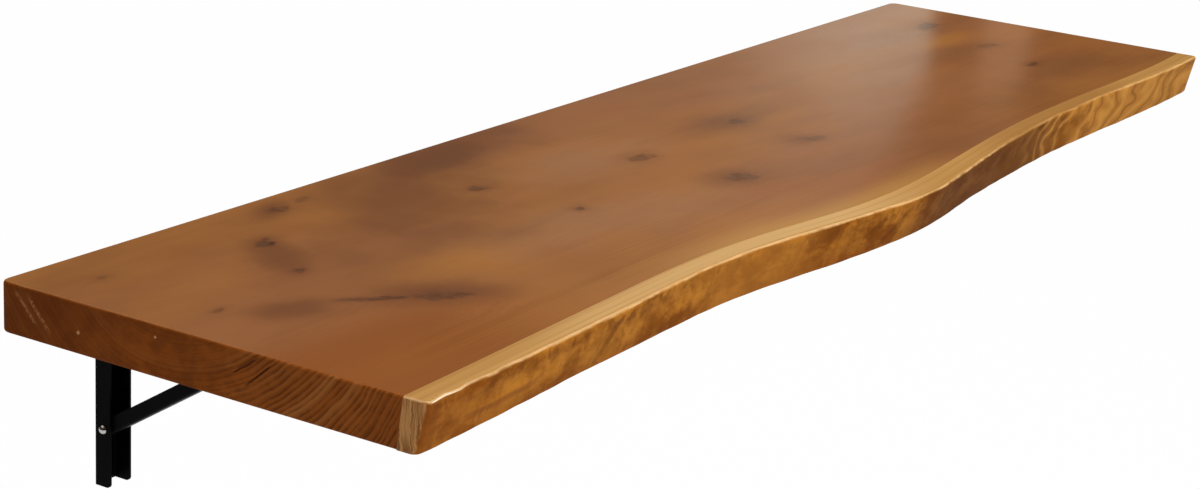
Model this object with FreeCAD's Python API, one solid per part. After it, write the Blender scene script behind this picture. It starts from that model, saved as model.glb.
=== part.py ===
import FreeCAD, Part

import math
import os

from FreeCAD import Vector

# A plank leaf that hangs on a wall by two folding brackets.
# X runs along the wall, Y points into the wall, Z is up, in millimetres.
# The origin lies on the wall, midway between the four outer wall holes.

# Leaf
leaf_length = 1400.0
leaf_depth = 401.5
leaf_thickness = 40.0
wall_gap = 1.5
edge_ease = 2.5
back_corner_round = 9.0
front_corner_round = 5.0

# Live edge: places along the leaf, then the leaf's depth along its top, the width of
# the pale strip and how far the front face slopes back, at each of those places
strip_width = 24.0
edge_undercut = 10.0
joint_lean = 4.0
edge_place_shares = (0.0, 0.10, 0.20, 0.30, 0.37, 0.43, 0.50, 0.60, 0.71, 0.81, 0.91, 1.0)
edge_depth_shares = (0.996, 0.980, 0.962, 0.943, 0.967, 0.992, 1.017, 0.978, 0.934, 0.921, 0.931, 0.922)
strip_width_shares = (0.96, 1.0, 1.02, 0.87, 0.94, 0.88, 1.12, 1.0, 0.85, 0.74, 0.82, 0.92)
undercut_shares = (1.0, 1.0, 1.0, 0.6, 0.9, 1.0, 1.4, 1.2, 0.8, 0.65, 0.9, 0.9)

# Bracket places: how far a pivot lies from the wall, and how far below the leaf
bracket_inset = 114.0
hinge_depth = 18.0
hinge_drop = 22.0
rivet_depth = 9.0
rivet_drop = 106.0
slide_depth = 154.0
slide_drop = 13.5

# The leaf's fold, and the turn of the brace for each turn of the leaf
leaf_swing_deg = 90.0
brace_turn_share = 1.298

# Pressed steel
sheet = 2.0
bend_radius = 3.0
running_clearance = 0.05
side_clearance = 0.5
overrun = 20.0
touch = 0.01

# Wall arm
wall_arm_width = 24.0
wall_arm_depth = 17.0
wall_arm_drop = 153.5
wall_arm_top_drop = 4.0
wall_arm_corner = 3.5
lug_radius = 7.5
upper_hole_drop = 40.0
middle_hole_drop = 76.0
lower_hole_inset = 13.5
wall_hole_radius = 2.75

# Leaf arm
nose_length = 26.0
leaf_arm_drop = 22.0
leaf_arm_corner = 6.0
heel_drop = 10.0
slot_clearance = 0.3
slot_rim = 3.2
slot_step_count = 12

# Pins and rings
hinge_pin_radius = 3.0
hinge_head_radius = 5.0
hinge_head_height = 2.4
washer_radius = 6.5
washer_thickness = 1.0
rivet_radius = 2.5
rivet_head_radius = 3.75
rivet_head_height = 2.2
slide_pin_radius = 2.5
slide_head_radius = 4.5
slide_head_height = 1.8
spacer_radius = 4.5
head_gap = 0.3

# Brace
brace_depth = 12.0

# Release lever with its pin and flat spring
lever_width = 11.0
lever_sheet = 2.0
lever_drop = 6.0
lever_tail = 77.0
tab_inset = 3.0
lever_overhang = 4.0
lever_boss_radius = 3.4
lever_pin_radius = 2.0
lever_head_radius = 3.5
lever_head_height = 1.4
tooth_gap = 0.9
tooth_length = 4.0
tooth_clearance = 0.6
tab_drop = 21.5
tab_lip = 9.0
spring_sheet = 0.6
spring_width = 8.0
spring_lap = 6.0
spring_flat_reach = 7.0

# Leaf screws
rear_screw_depth = 50.0
spring_screw_inset = 34.0
front_screw_inset = 46.0
screw_radius = 2.0
screw_length = 28.0
screw_tip = 5.0
screw_head_radius = 4.0
screw_head_height = 2.3

# Worked out from the sizes above
lower_hole_drop = wall_arm_drop - lower_hole_inset
underside = (upper_hole_drop + lower_hole_drop) / 2
bracket_places = {"left": bracket_inset - leaf_length / 2, "right": leaf_length / 2 - bracket_inset}
leaf_arm_inner = wall_arm_width + 2 * washer_thickness
leaf_arm_width = leaf_arm_inner + 2 * sheet
brace_width = wall_arm_width - 2 * sheet - 2 * side_clearance
brace_rise = rivet_drop - slide_drop
brace_run = slide_depth - rivet_depth
brace_length = math.hypot(brace_run, brace_rise)
brace_slope = math.atan2(brace_rise, brace_run)
slot_radius = slide_pin_radius + slot_clearance
lever_top_drop = lever_drop - lever_sheet / 2
lever_rear_depth = slide_depth - lever_overhang
lever_pivot_depth = slide_depth + lever_tail
spring_front_depth = lever_rear_depth + spring_lap
middle_screw_depth = slide_depth - spring_screw_inset
across = Vector(1, 0, 0)
up = Vector(0, 0, 1)


def side(front, drop):
    """A point on the bracket's middle plane, by its distance from the wall and below the leaf."""
    return Vector(0, -front, underside - drop)


def plate(wire, width):
    """A side outline made solid across the bracket, as wide as asked and centred on it."""
    solid = Part.Face(wire).extrude(across * width)
    solid.translate(across * (-width / 2))
    return solid


def polygon(points):
    return Part.makePolygon(points + points[:1])


def cross_rod(radius, centre, length):
    """A round bar along X, centred on a point of the bracket's middle plane."""
    return Part.makeCylinder(radius, length, centre - across * (length / 2), across)


def channel(width, depth, length):
    """A pressed U section with its web on top at Z zero, running from the origin to the front."""
    half = width / 2
    inner = half - sheet
    bend = half - bend_radius
    turn = math.sqrt(2) / 2
    outer_mid = bend + bend_radius * turn
    outer_low = -bend_radius + bend_radius * turn
    inner_radius = bend_radius - sheet
    inner_mid = bend + inner_radius * turn
    inner_low = -bend_radius + inner_radius * turn

    def line(x0, z0, x1, z1):
        return Part.LineSegment(Vector(x0, 0, z0), Vector(x1, 0, z1)).toShape()

    def arc(x0, z0, x1, z1, x2, z2):
        return Part.Arc(Vector(x0, 0, z0), Vector(x1, 0, z1), Vector(x2, 0, z2)).toShape()

    edges = [
        line(-half, -depth, -half, -bend_radius),
        arc(-half, -bend_radius, -outer_mid, outer_low, -bend, 0),
        line(-bend, 0, bend, 0),
        arc(bend, 0, outer_mid, outer_low, half, -bend_radius),
        line(half, -bend_radius, half, -depth),
        line(half, -depth, inner, -depth),
        line(inner, -depth, inner, -bend_radius),
        arc(inner, -bend_radius, inner_mid, inner_low, bend, -sheet),
        line(bend, -sheet, -bend, -sheet),
        arc(-bend, -sheet, -inner_mid, inner_low, -inner, -bend_radius),
        line(-inner, -bend_radius, -inner, -depth),
        line(-inner, -depth, -half, -depth),
    ]
    return Part.Face(Part.Wire(edges)).extrude(Vector(0, -length, 0))


def rivet(grip, shank_radius, head_radius, head_height):
    """A pin along X with a domed head at each end, centred on the origin."""
    half = grip / 2
    tip = half + head_height
    dome = (head_radius**2 + head_height**2) / (2 * head_height)
    turn = math.asin(head_radius / dome) / 2
    mid_x = tip - dome + dome * math.cos(turn)
    mid_y = dome * math.sin(turn)
    edges = [
        Part.Arc(Vector(-tip, 0, 0), Vector(-mid_x, mid_y, 0), Vector(-half, head_radius, 0)).toShape(),
        Part.makePolygon([
            Vector(-half, head_radius, 0),
            Vector(-half, shank_radius, 0),
            Vector(half, shank_radius, 0),
            Vector(half, head_radius, 0),
        ]),
        Part.Arc(Vector(half, head_radius, 0), Vector(mid_x, mid_y, 0), Vector(tip, 0, 0)).toShape(),
        Part.LineSegment(Vector(tip, 0, 0), Vector(-tip, 0, 0)).toShape(),
    ]
    return Part.Face(Part.Wire(edges)).revolve(Vector(0, 0, 0), across, 360)


def moved(shape, offset):
    copy = shape.copy()
    copy.translate(offset)
    return copy


# Fold of the bracket, seen from the leaf


def slide_place(turn):
    """Where the slide pin lies on the leaf arm when the leaf has turned down this far."""
    lean = (brace_turn_share - 1) * turn - brace_slope
    behind = hinge_depth - rivet_depth
    below = rivet_drop - hinge_drop
    front = below * math.sin(turn) - behind * math.cos(turn) + brace_length * math.cos(lean)
    drop = behind * math.sin(turn) + below * math.cos(turn) + brace_length * math.sin(lean)
    return side(hinge_depth + front, hinge_drop + drop)


def slide_way(turn):
    """The direction in which the slide pin runs along its slot at that turn of the leaf."""
    gain = brace_turn_share - 1
    lean = gain * turn - brace_slope
    behind = hinge_depth - rivet_depth
    below = rivet_drop - hinge_drop
    front = below * math.cos(turn) + behind * math.sin(turn) - gain * brace_length * math.sin(lean)
    drop = behind * math.cos(turn) - below * math.sin(turn) + gain * brace_length * math.cos(lean)
    return Vector(0, -front, -drop).normalize()


slide_turns = [math.radians(leaf_swing_deg) * step / slot_step_count for step in range(slot_step_count + 1)]
slot_end_depth = slot_radius - slide_place(slide_turns[-1]).y
leaf_arm_reach = slot_end_depth + nose_length
lever_front_depth = leaf_arm_reach - tab_inset
front_screw_depth = leaf_arm_reach - front_screw_inset


def spline(points):
    curve = Part.BSplineCurve()
    curve.interpolate(points)
    return curve.toShape()


def slot_outline(radius):
    """The closed outline that a round pin of this radius sweeps on its way along the slot."""
    upper = []
    lower = []
    for turn in slide_turns:
        shift = across.cross(slide_way(turn)) * radius
        upper.append(slide_place(turn) + shift)
        lower.append(slide_place(turn) - shift)
    start = slide_place(slide_turns[0]) - slide_way(slide_turns[0]) * radius
    end = slide_place(slide_turns[-1]) + slide_way(slide_turns[-1]) * radius
    edges = [
        spline(upper),
        Part.Arc(upper[-1], end, lower[-1]).toShape(),
        spline(lower),
        Part.Arc(lower[0], start, upper[0]).toShape(),
    ]
    return Part.Wire(Part.__sortEdges__(edges))


# Leaf: a plain board with a live edge strip glued to its front


def leaf_curves(drop):
    """The joint and the front edge of the leaf, on its top face or a given distance below it."""
    joint = []
    edge = []
    lean = drop / leaf_thickness
    shares = zip(edge_place_shares, edge_depth_shares, strip_width_shares, undercut_shares)
    for place, depth, width, undercut in shares:
        x = place * leaf_length - leaf_length / 2
        front = wall_gap + depth * leaf_depth
        z = underside + leaf_thickness - drop
        joint.append(Vector(x, joint_lean * lean - front + width * strip_width, z))
        edge.append(Vector(x, edge_undercut * undercut * lean - front, z))
    return joint, edge


def ring(front_points, back_points):
    """A closed outline with a wavy front and a back that is a second wave or a straight line."""
    back = spline(back_points) if len(back_points) > 2 else Part.makeLine(*back_points)
    edges = [
        spline(front_points),
        Part.makeLine(front_points[-1], back_points[-1]),
        back,
        Part.makeLine(back_points[0], front_points[0]),
    ]
    return Part.Wire(Part.__sortEdges__(edges))


def on_points(edge, points):
    """True for an edge whose ends all lie on some of these points."""
    return all(min(vertex.Point.distanceToPoint(point) for point in points) < touch for vertex in edge.Vertexes)


def board_solid():
    """The plain board, rounded at its back corners and eased along its other outer edges."""
    top_joint = leaf_curves(0)[0]
    low_joint = leaf_curves(leaf_thickness)[0]
    top_back = [Vector(point.x, -wall_gap, point.z) for point in (top_joint[0], top_joint[-1])]
    low_back = [Vector(point.x, -wall_gap, point.z) for point in (low_joint[0], low_joint[-1])]
    joint_ends = [top_joint[0], top_joint[-1], low_joint[0], low_joint[-1]]
    board = Part.makeLoft([ring(low_joint, low_back), ring(top_joint, top_back)], True, True)
    corners = []
    for edge in board.Edges:
        if any(on_points(edge, [top_back[end], low_back[end]]) for end in (0, -1)):
            corners.append(edge)
    board = board.makeFillet(back_corner_round, corners)
    eased = []
    for edge in board.Edges:
        if edge.BoundBox.ZLength < touch and not on_points(edge, joint_ends):
            eased.append(edge)
    return board.makeFillet(edge_ease, eased)


def strip_solid():
    """The live edge strip, rounded at its front corners and eased along its outer edges."""
    top_joint, top_edge = leaf_curves(0)
    low_joint, low_edge = leaf_curves(leaf_thickness)
    joint_ends = [top_joint[0], top_joint[-1], low_joint[0], low_joint[-1]]
    strip = Part.makeLoft([ring(low_edge, low_joint), ring(top_edge, top_joint)], True, True)
    corners = []
    for edge in strip.Edges:
        if any(on_points(edge, [top_edge[end], low_edge[end]]) for end in (0, -1)):
            corners.append(edge)
    strip = strip.makeFillet(front_corner_round, corners)
    eased = []
    for edge in strip.Edges:
        if edge.BoundBox.ZLength < touch and not on_points(edge, joint_ends):
            eased.append(edge)
    return strip.makeFillet(edge_ease, eased)


# Bracket pieces, each made at X zero and copied to both brackets


def is_corner(edge, place):
    """True for an edge across the bracket that passes through a place in its side view."""
    middle = edge.CenterOfMass
    gap = math.hypot(middle.y - place.y, middle.z - place.z)
    return gap < touch and edge.BoundBox.XLength > touch


def wall_arm():
    """A channel open to the front, with a lug at the top for the hinge pin."""
    lug_reach = hinge_depth + lug_radius
    height = wall_arm_drop - wall_arm_top_drop
    body = channel(wall_arm_width, lug_reach, height)
    body.rotate(Vector(0, 0, 0), across, -90)
    body.translate(side(0, wall_arm_drop))
    strap = polygon([
        side(0, wall_arm_drop),
        side(0, wall_arm_top_drop),
        side(rivet_depth, wall_arm_top_drop),
        side(hinge_depth, hinge_drop - lug_radius),
        side(hinge_depth, hinge_drop + lug_radius),
        side(wall_arm_depth, hinge_drop + 2 * lug_radius),
        side(wall_arm_depth, wall_arm_drop),
    ])
    outline = plate(strap, wall_arm_width)
    foot = [edge for edge in outline.Edges if is_corner(edge, side(wall_arm_depth, wall_arm_drop))]
    outline = outline.makeFillet(wall_arm_corner, foot)
    outline = outline.fuse(cross_rod(lug_radius, side(hinge_depth, hinge_drop), wall_arm_width))
    arm = body.common(outline)
    arm = arm.cut(cross_rod(hinge_pin_radius + running_clearance, side(hinge_depth, hinge_drop), leaf_arm_width))
    arm = arm.cut(cross_rod(rivet_radius + running_clearance, side(rivet_depth, rivet_drop), leaf_arm_width))
    for drop in (upper_hole_drop, middle_hole_drop, lower_hole_drop):
        arm = arm.cut(Part.makeCylinder(wall_hole_radius, overrun, side(overrun / 2, drop), Vector(0, 1, 0)))
    return arm.removeSplitter()


def leaf_arm():
    """A channel open downwards whose cheeks carry the curved slot of the slide pin."""
    rim = slot_radius + slot_rim
    places = [slide_place(turn) for turn in slide_turns]
    lowest = underside - min(place.z for place in places) + rim + slot_rim
    body = channel(leaf_arm_width, lowest, leaf_arm_reach - wall_gap)
    body.translate(side(wall_gap, 0))
    bar = plate(polygon([
        side(wall_gap, 0),
        side(leaf_arm_reach, 0),
        side(leaf_arm_reach, leaf_arm_drop),
        side(hinge_depth + 2 * lug_radius, leaf_arm_drop),
        side(hinge_depth, hinge_drop + lug_radius),
        side(hinge_depth - lug_radius, hinge_drop),
        side(wall_gap, heel_drop),
    ]), leaf_arm_width)
    nose = [edge for edge in bar.Edges if is_corner(edge, side(leaf_arm_reach, leaf_arm_drop))]
    bar = bar.makeFillet(leaf_arm_corner, nose)
    lug = cross_rod(lug_radius, side(hinge_depth, hinge_drop), leaf_arm_width)
    belly = plate(slot_outline(rim), leaf_arm_width)
    shoulder = plate(Part.Wire([
        Part.makeLine(side(-places[0].y, 0), places[0]),
        spline(places),
        Part.makeLine(places[-1], side(-places[-1].y, 0)),
        Part.makeLine(side(-places[-1].y, 0), side(-places[0].y, 0)),
    ]), leaf_arm_width)
    arm = body.common(bar.fuse([lug, belly, shoulder]))
    arm = arm.cut(plate(slot_outline(slot_radius), leaf_arm_width + overrun))
    arm = arm.cut(cross_rod(hinge_pin_radius + running_clearance, side(hinge_depth, hinge_drop), leaf_arm_width))
    pivot = side(lever_pivot_depth, lever_drop)
    arm = arm.cut(cross_rod(lever_pin_radius + running_clearance, pivot, leaf_arm_width))
    for depth in (rear_screw_depth, middle_screw_depth, front_screw_depth):
        arm = arm.cut(Part.makeCylinder(screw_radius + running_clearance, sheet, side(depth, sheet)))
    return arm.removeSplitter()


def brace():
    """A narrow channel open upwards, rounded at both ends, between its rivet and the slide pin."""
    end = brace_depth / 2
    body = channel(brace_width, brace_depth, brace_length + brace_depth)
    body.rotate(Vector(0, 0, 0), Vector(0, 1, 0), 180)
    body.translate(Vector(0, end, -end))
    far = Vector(0, -brace_length, 0)
    bar = Part.makeBox(brace_width, brace_length, brace_depth, Vector(-brace_width / 2, -brace_length, -end))
    bar = bar.fuse([cross_rod(end, Vector(0, 0, 0), brace_width), cross_rod(end, far, brace_width)])
    strut = body.common(bar)
    strut = strut.cut(cross_rod(rivet_radius + running_clearance, Vector(0, 0, 0), brace_width))
    strut = strut.cut(cross_rod(slide_pin_radius + running_clearance, far, brace_width))
    strut = strut.removeSplitter()
    strut.rotate(Vector(0, 0, 0), across, -math.degrees(brace_slope))
    strut.translate(side(rivet_depth, rivet_drop))
    return strut


def pair_of_rings(radius, bore, near, far, centre):
    """Two equal rings on a pin, one on each side of the bracket's middle plane."""
    rings = []
    for start in (near, -far):
        base = centre + across * start
        outer = Part.makeCylinder(radius, far - near, base, across)
        rings.append(outer.cut(Part.makeCylinder(bore + running_clearance, far - near, base, across)))
    return Part.makeCompound(rings)


def release_lever():
    """A flat strip on a pivot, with a tooth beside the slide pin and a pull tab at its front end."""
    pin = slide_place(0)
    way = slide_way(0)
    low_drop = lever_drop + lever_sheet / 2
    strip = polygon([
        side(lever_rear_depth, lever_top_drop),
        side(lever_front_depth, lever_top_drop),
        side(lever_front_depth, low_drop),
        side(lever_rear_depth, low_drop),
    ])
    heel = -pin.y + slide_pin_radius + tooth_gap
    toe = heel + tooth_length
    slope = way.z / way.y
    above = (slide_pin_radius + tooth_clearance) / abs(way.y)

    def tooth_point(front):
        drop = slide_drop - above + slope * (front + pin.y)
        return side(front, drop)

    tooth = polygon([side(heel, lever_drop), side(toe, lever_drop), tooth_point(toe), tooth_point(heel)])
    tab = polygon([
        side(lever_front_depth - lever_sheet, lever_top_drop),
        side(lever_front_depth, lever_top_drop),
        side(lever_front_depth, tab_drop - lever_sheet),
        side(lever_front_depth + tab_lip, tab_drop - lever_sheet),
        side(lever_front_depth + tab_lip, tab_drop),
        side(lever_front_depth - lever_sheet, tab_drop),
    ])
    pivot = side(lever_pivot_depth, lever_drop)
    lever = plate(strip, lever_width).fuse([
        plate(tooth, lever_width),
        plate(tab, lever_width),
        cross_rod(lever_boss_radius, pivot, lever_width),
    ])
    lever = lever.cut(cross_rod(lever_pin_radius + running_clearance, pivot, lever_width))
    return lever.removeSplitter()


def lever_spring():
    """A thin strip held by the middle screw, which bends down and bears on the lever."""
    bend = middle_screw_depth + spring_flat_reach
    strip = plate(polygon([
        side(middle_screw_depth - spring_flat_reach, sheet),
        side(bend, sheet),
        side(spring_front_depth, lever_top_drop - spring_sheet),
        side(spring_front_depth, lever_top_drop),
        side(bend, sheet + spring_sheet),
        side(middle_screw_depth - spring_flat_reach, sheet + spring_sheet),
    ]), spring_width)
    hole = Part.makeCylinder(screw_radius + running_clearance, overrun, side(middle_screw_depth, overrun / 2))
    return strip.cut(hole)


def screw_solid(grow):
    """A round headed wood screw pointing up, seated at the origin, made larger by a clearance."""
    shank = screw_radius + grow
    cone = screw_length - screw_tip
    crown = screw_head_height / 2
    bow = math.sqrt(2) / 2
    edges = [
        Part.makePolygon([
            Vector(0, 0, -screw_head_height),
            Vector(screw_head_radius - crown, 0, -screw_head_height),
        ]),
        Part.Arc(
            Vector(screw_head_radius - crown, 0, -screw_head_height),
            Vector(screw_head_radius - crown + crown * bow, 0, -crown - crown * bow),
            Vector(screw_head_radius, 0, -crown),
        ).toShape(),
        Part.makePolygon([
            Vector(screw_head_radius, 0, -crown),
            Vector(screw_head_radius, 0, 0),
            Vector(shank, 0, 0),
            Vector(shank, 0, cone),
            Vector(0, 0, screw_length + grow),
            Vector(0, 0, -screw_head_height),
        ]),
    ]
    return Part.Face(Part.Wire(edges)).revolve(Vector(0, 0, 0), up, 360)


def screw_seats():
    """Where the three screw heads bear: on the web, or on the spring at the middle one."""
    return [
        side(rear_screw_depth, sheet),
        side(middle_screw_depth, sheet + spring_sheet),
        side(front_screw_depth, sheet),
    ]


def bracket():
    """Every piece of one bracket by its plain name."""
    hinge = side(hinge_depth, hinge_drop)
    foot = side(rivet_depth, rivet_drop)
    slide = side(slide_depth, slide_drop)
    pivot = side(lever_pivot_depth, lever_drop)
    wide_grip = leaf_arm_width + 2 * head_gap
    wall_half = wall_arm_width / 2
    brace_half = brace_width / 2
    pieces = {}
    pieces["wall_arm"] = wall_arm()
    hinge_pin = rivet(wide_grip, hinge_pin_radius, hinge_head_radius, hinge_head_height)
    pieces["hinge_pin"] = moved(hinge_pin, hinge)
    pieces["hinge_washers"] = pair_of_rings(washer_radius, hinge_pin_radius, wall_half, leaf_arm_inner / 2, hinge)
    brace_rivet = rivet(wall_arm_width, rivet_radius, rivet_head_radius, rivet_head_height)
    pieces["brace_rivet"] = moved(brace_rivet, foot)
    pieces["brace"] = brace()
    slide_pin = rivet(wide_grip, slide_pin_radius, slide_head_radius, slide_head_height)
    pieces["slide_pin"] = moved(slide_pin, slide)
    spacer_end = leaf_arm_inner / 2 - head_gap
    pieces["slide_spacers"] = pair_of_rings(spacer_radius, slide_pin_radius, brace_half, spacer_end, slide)
    pieces["leaf_arm"] = leaf_arm()
    pieces["release_lever"] = release_lever()
    lever_pin = rivet(leaf_arm_width, lever_pin_radius, lever_head_radius, lever_head_height)
    pieces["lever_pin"] = moved(lever_pin, pivot)
    pieces["lever_spring"] = lever_spring()
    pieces["leaf_screws"] = Part.makeCompound([moved(screw_solid(0), seat) for seat in screw_seats()])
    return pieces


def build():
    """All pieces of the table by their node names."""
    board = board_solid()
    nodes = {}
    pieces = bracket()
    for name, place in bracket_places.items():
        offset = across * place
        for piece, shape in pieces.items():
            nodes[f"{name}_{piece}"] = moved(shape, offset)
        for seat in screw_seats():
            board = board.cut(moved(screw_solid(running_clearance), seat + offset))
    nodes["heartwood_board"] = board
    nodes["live_edge_strip"] = strip_solid()
    return nodes


os.makedirs("parts", exist_ok=True)
for node, shape in build().items():
    shape.exportStep(f"parts/{node}.step")
    print(node, len(shape.Solids), "solids", round(shape.Volume), "mm3", "valid" if shape.isValid() else "not valid")
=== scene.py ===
import math

import bmesh
import bpy
from mathutils import Matrix, Vector, noise
from mathutils.bvhtree import BVHTree


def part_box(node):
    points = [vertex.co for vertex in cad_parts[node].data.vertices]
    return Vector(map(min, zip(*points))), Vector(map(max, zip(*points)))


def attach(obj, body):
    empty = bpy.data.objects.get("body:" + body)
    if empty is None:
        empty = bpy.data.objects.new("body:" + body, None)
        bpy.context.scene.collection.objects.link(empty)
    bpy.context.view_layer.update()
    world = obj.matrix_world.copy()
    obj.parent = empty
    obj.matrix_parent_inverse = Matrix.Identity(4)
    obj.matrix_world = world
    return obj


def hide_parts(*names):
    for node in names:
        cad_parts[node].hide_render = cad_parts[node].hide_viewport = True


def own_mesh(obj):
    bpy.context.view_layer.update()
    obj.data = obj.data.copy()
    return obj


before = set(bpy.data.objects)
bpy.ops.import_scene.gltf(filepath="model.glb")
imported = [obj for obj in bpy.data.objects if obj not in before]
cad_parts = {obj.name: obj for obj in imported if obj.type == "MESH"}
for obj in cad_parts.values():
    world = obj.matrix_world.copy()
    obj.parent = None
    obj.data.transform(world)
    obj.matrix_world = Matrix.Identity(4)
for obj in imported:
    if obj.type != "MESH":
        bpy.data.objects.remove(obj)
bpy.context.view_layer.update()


# Pressed arms, braces and release levers of both brackets.
# Two millimetre steel sheet, folded into channels and punched, then powder coated black;
# the coat is satin, with a faint orange-peel texture left by the baked powder.
def feed(tree, value, socket):
    """Links a socket to another, or sets a plain value on it."""
    if isinstance(value, bpy.types.NodeSocket):
        tree.links.new(value, socket)
    else:
        socket.default_value = value


def vector_of(tree, operation, *values):
    """One vector step of a finish."""
    step = tree.nodes.new("ShaderNodeVectorMath")
    step.operation = operation
    for value, socket in zip(values, step.inputs):
        feed(tree, value, socket)
    return step.outputs["Value"] if operation in ("LENGTH", "DOT_PRODUCT") else step.outputs[0]


def cloud(tree, place, stretch, detail=2.0, roughness=0.5):
    """Soft random variation, with its own stretch along each axis; the stretch is in spots per metre."""
    spots = tree.nodes.new("ShaderNodeTexNoise")
    spots.inputs["Scale"].default_value = 1.0
    spots.inputs["Detail"].default_value = detail
    spots.inputs["Roughness"].default_value = roughness
    feed(tree, vector_of(tree, "MULTIPLY", place, stretch), spots.inputs["Vector"])
    return spots.outputs["Fac"]


def between(tree, value, low, high, to_low=0.0, to_high=1.0):
    """A smooth step of a value from one level to another."""
    step = tree.nodes.new("ShaderNodeMapRange")
    step.interpolation_type = "SMOOTHSTEP"
    sockets = ("Value", "From Min", "From Max", "To Min", "To Max")
    for socket, given in zip(sockets, (value, low, high, to_low, to_high)):
        feed(tree, given, step.inputs[socket])
    return step.outputs["Result"]


def blend(tree, share, first, second, way="MIX"):
    """Two colours mixed by a share."""
    mix = tree.nodes.new("ShaderNodeMix")
    mix.data_type = "RGBA"
    mix.blend_type = way
    feed(tree, share, mix.inputs["Factor"])
    feed(tree, first, mix.inputs["A"])
    feed(tree, second, mix.inputs["B"])
    return mix.outputs["Result"]


def tone(red, green, blue):
    """A colour by its display levels from 0 to 255."""
    levels = [level / 255 for level in (red, green, blue)]
    return (*[v / 12.92 if v <= 0.04045 else ((v + 0.055) / 1.055) ** 2.4 for v in levels], 1.0)


def new_finish(name):
    """A fresh material with its shader and the coordinates of the piece."""
    finish = bpy.data.materials.new(name)
    finish.use_nodes = True
    tree = finish.node_tree
    return finish, tree, tree.nodes["Principled BSDF"], tree.nodes.new("ShaderNodeTexCoord").outputs


def raise_bumps(tree, shader, height, distance):
    """Lets a height stand out of the surface by a small distance in metres."""
    bump = tree.nodes.new("ShaderNodeBump")
    bump.inputs["Strength"].default_value = 1.0
    bump.inputs["Distance"].default_value = distance
    feed(tree, height, bump.inputs["Height"])
    feed(tree, bump.outputs["Normal"], shader.inputs["Normal"])


def put_on(finish, *nodes):
    """Gives pieces of the frame a finish."""
    for node in nodes:
        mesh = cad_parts[node].data
        mesh.materials.clear()
        mesh.materials.append(finish)


powder_coat, tree, shader, place = new_finish("black_powder_coat")
peel = cloud(tree, place["Object"], (900.0, 900.0, 900.0), detail=3.0)
smudge = cloud(tree, place["Object"], (28.0, 28.0, 14.0), detail=4.0, roughness=0.65)
feed(tree, blend(tree, smudge, tone(3, 3, 3), tone(8, 7, 7)), shader.inputs["Base Color"])
feed(tree, between(tree, smudge, 0.25, 0.75, 0.42, 0.58), shader.inputs["Roughness"])
shader.inputs["Specular IOR Level"].default_value = 0.03
raise_bumps(tree, shader, peel, 0.00004)
for side in ("left", "right"):
    put_on(powder_coat, f"{side}_wall_arm", f"{side}_leaf_arm", f"{side}_brace",
           f"{side}_release_lever")


# Rivets and pins that the brackets turn on: hinge pins, brace rivets, slide pins, lever pins.
# Turned from steel rod and bright plated, with heads domed by the riveting tool;
# handling leaves faint scuffs in the plating.
bright_plate, tree, shader, place = new_finish("bright_plated_steel")
scuff = cloud(tree, place["Object"], (420.0, 420.0, 420.0), detail=4.0, roughness=0.7)
feed(tree, blend(tree, scuff, tone(158, 154, 147), tone(204, 201, 196)), shader.inputs["Base Color"])
feed(tree, between(tree, scuff, 0.3, 0.7, 0.14, 0.26), shader.inputs["Roughness"])
shader.inputs["Metallic"].default_value = 1.0
raise_bumps(tree, shader, scuff, 0.00003)
for side in ("left", "right"):
    put_on(bright_plate, f"{side}_hinge_pin", f"{side}_brace_rivet", f"{side}_slide_pin",
           f"{side}_lever_pin")


# Rings on the hinge pins and slide pins, moulded in black nylon.
# They keep the painted cheeks apart and stop the slide pin from rattling.
nylon, tree, shader, place = new_finish("black_nylon")
grit = cloud(tree, place["Object"], (1500.0, 1500.0, 1500.0), detail=2.0)
feed(tree, blend(tree, grit, tone(20, 20, 21), tone(36, 36, 37)), shader.inputs["Base Color"])
feed(tree, between(tree, grit, 0.3, 0.7, 0.5, 0.62), shader.inputs["Roughness"])
shader.inputs["Specular IOR Level"].default_value = 0.35
raise_bumps(tree, shader, grit, 0.00002)
for side in ("left", "right"):
    put_on(nylon, f"{side}_hinge_washers", f"{side}_slide_spacers")


# Flat springs over the release levers, cut from plain spring steel strip and bent like a cantilever.
# The middle screw clamps the rear end to the arm's web; the rounded tip bears on the lever and is
# pressed flat as the lever is pulled. The rolled strip keeps fine lengthwise lines from the mill.
def new_piece(name, form, crease=None):
    """Makes a form into an object; with a crease in degrees, it is smooth up to that angle."""
    mesh = bpy.data.meshes.new(name)
    form.to_mesh(mesh)
    form.free()
    if crease is not None:
        mesh.shade_smooth()
        mesh.set_sharp_from_angle(angle=math.radians(crease))
    piece = bpy.data.objects.new(name, mesh)
    bpy.context.scene.collection.objects.link(piece)
    return piece


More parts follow.
